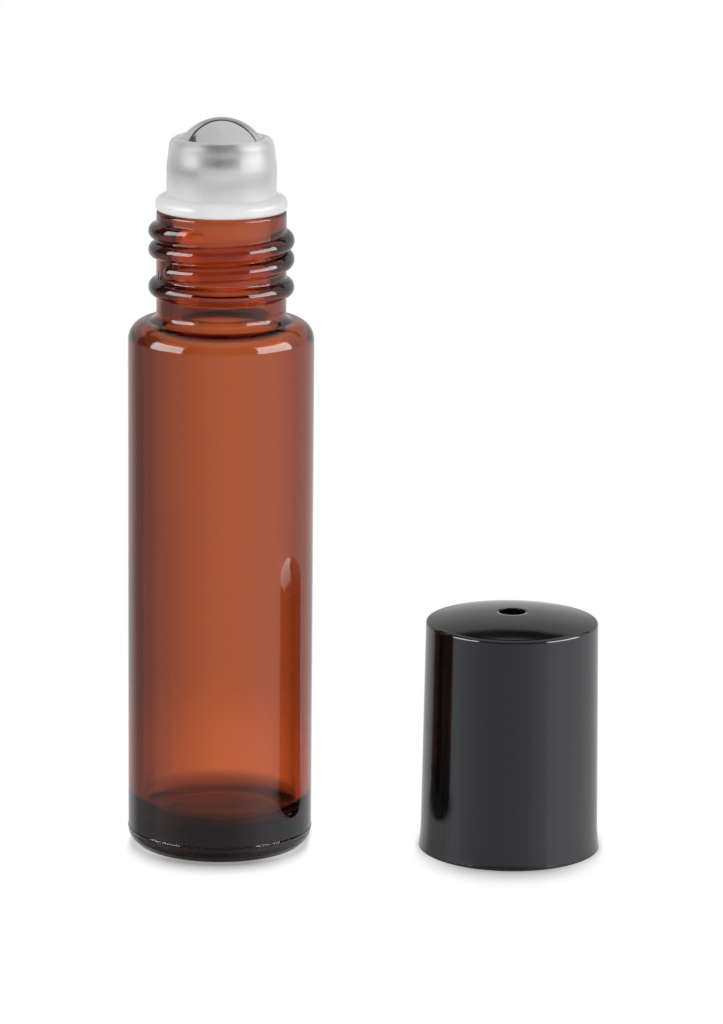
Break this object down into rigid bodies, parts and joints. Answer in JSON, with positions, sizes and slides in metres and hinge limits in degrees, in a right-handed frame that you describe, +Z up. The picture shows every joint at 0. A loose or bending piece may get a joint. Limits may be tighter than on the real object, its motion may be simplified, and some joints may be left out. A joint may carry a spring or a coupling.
{
  "type": "roll-on bottle",
  "caption": "Slim amber glass roll-on bottle with a steel ball in a snap-in plastic housing, threaded neck and a glossy black screw cap standing beside it.",
  "frame": {"origin": "centre of the glass bottle's foot, on the surface that the bottle and its cap stand on", "axes": "+Z up along the bottle, +X towards the cap that stands beside it, +Y away from the viewer"},
  "size_m": [0.0515, 0.02, 0.0799],
  "materials": {
    "amber_glass": "clear amber glass, fire polished",
    "natural_plastic": "translucent natural plastic, satin",
    "steel_ball": "polished stainless steel",
    "black_gloss": "glossy black moulded plastic",
    "black_liner": "satin black moulded plastic"
  },
  "bodies": {
    "glass": {"bottle": "amber_glass", "roller_housing": "natural_plastic"},
    "ball": {"roller_ball": "steel_ball"},
    "cap": {"cap_shell": "black_gloss", "cap_liner": "black_liner"}
  },
  "joints": [
    {"name": "ball_roll", "type": "hinge", "parent": "glass", "child": "ball", "pos_m": [0, 0, 0.07477], "axis": [1, 0, 0], "continuous": true},
    {"name": "cap_lift", "type": "slide", "parent": "glass", "child": "cap", "axis": [0, 0, 1], "range_m": [0, 0.09]}
  ]
}
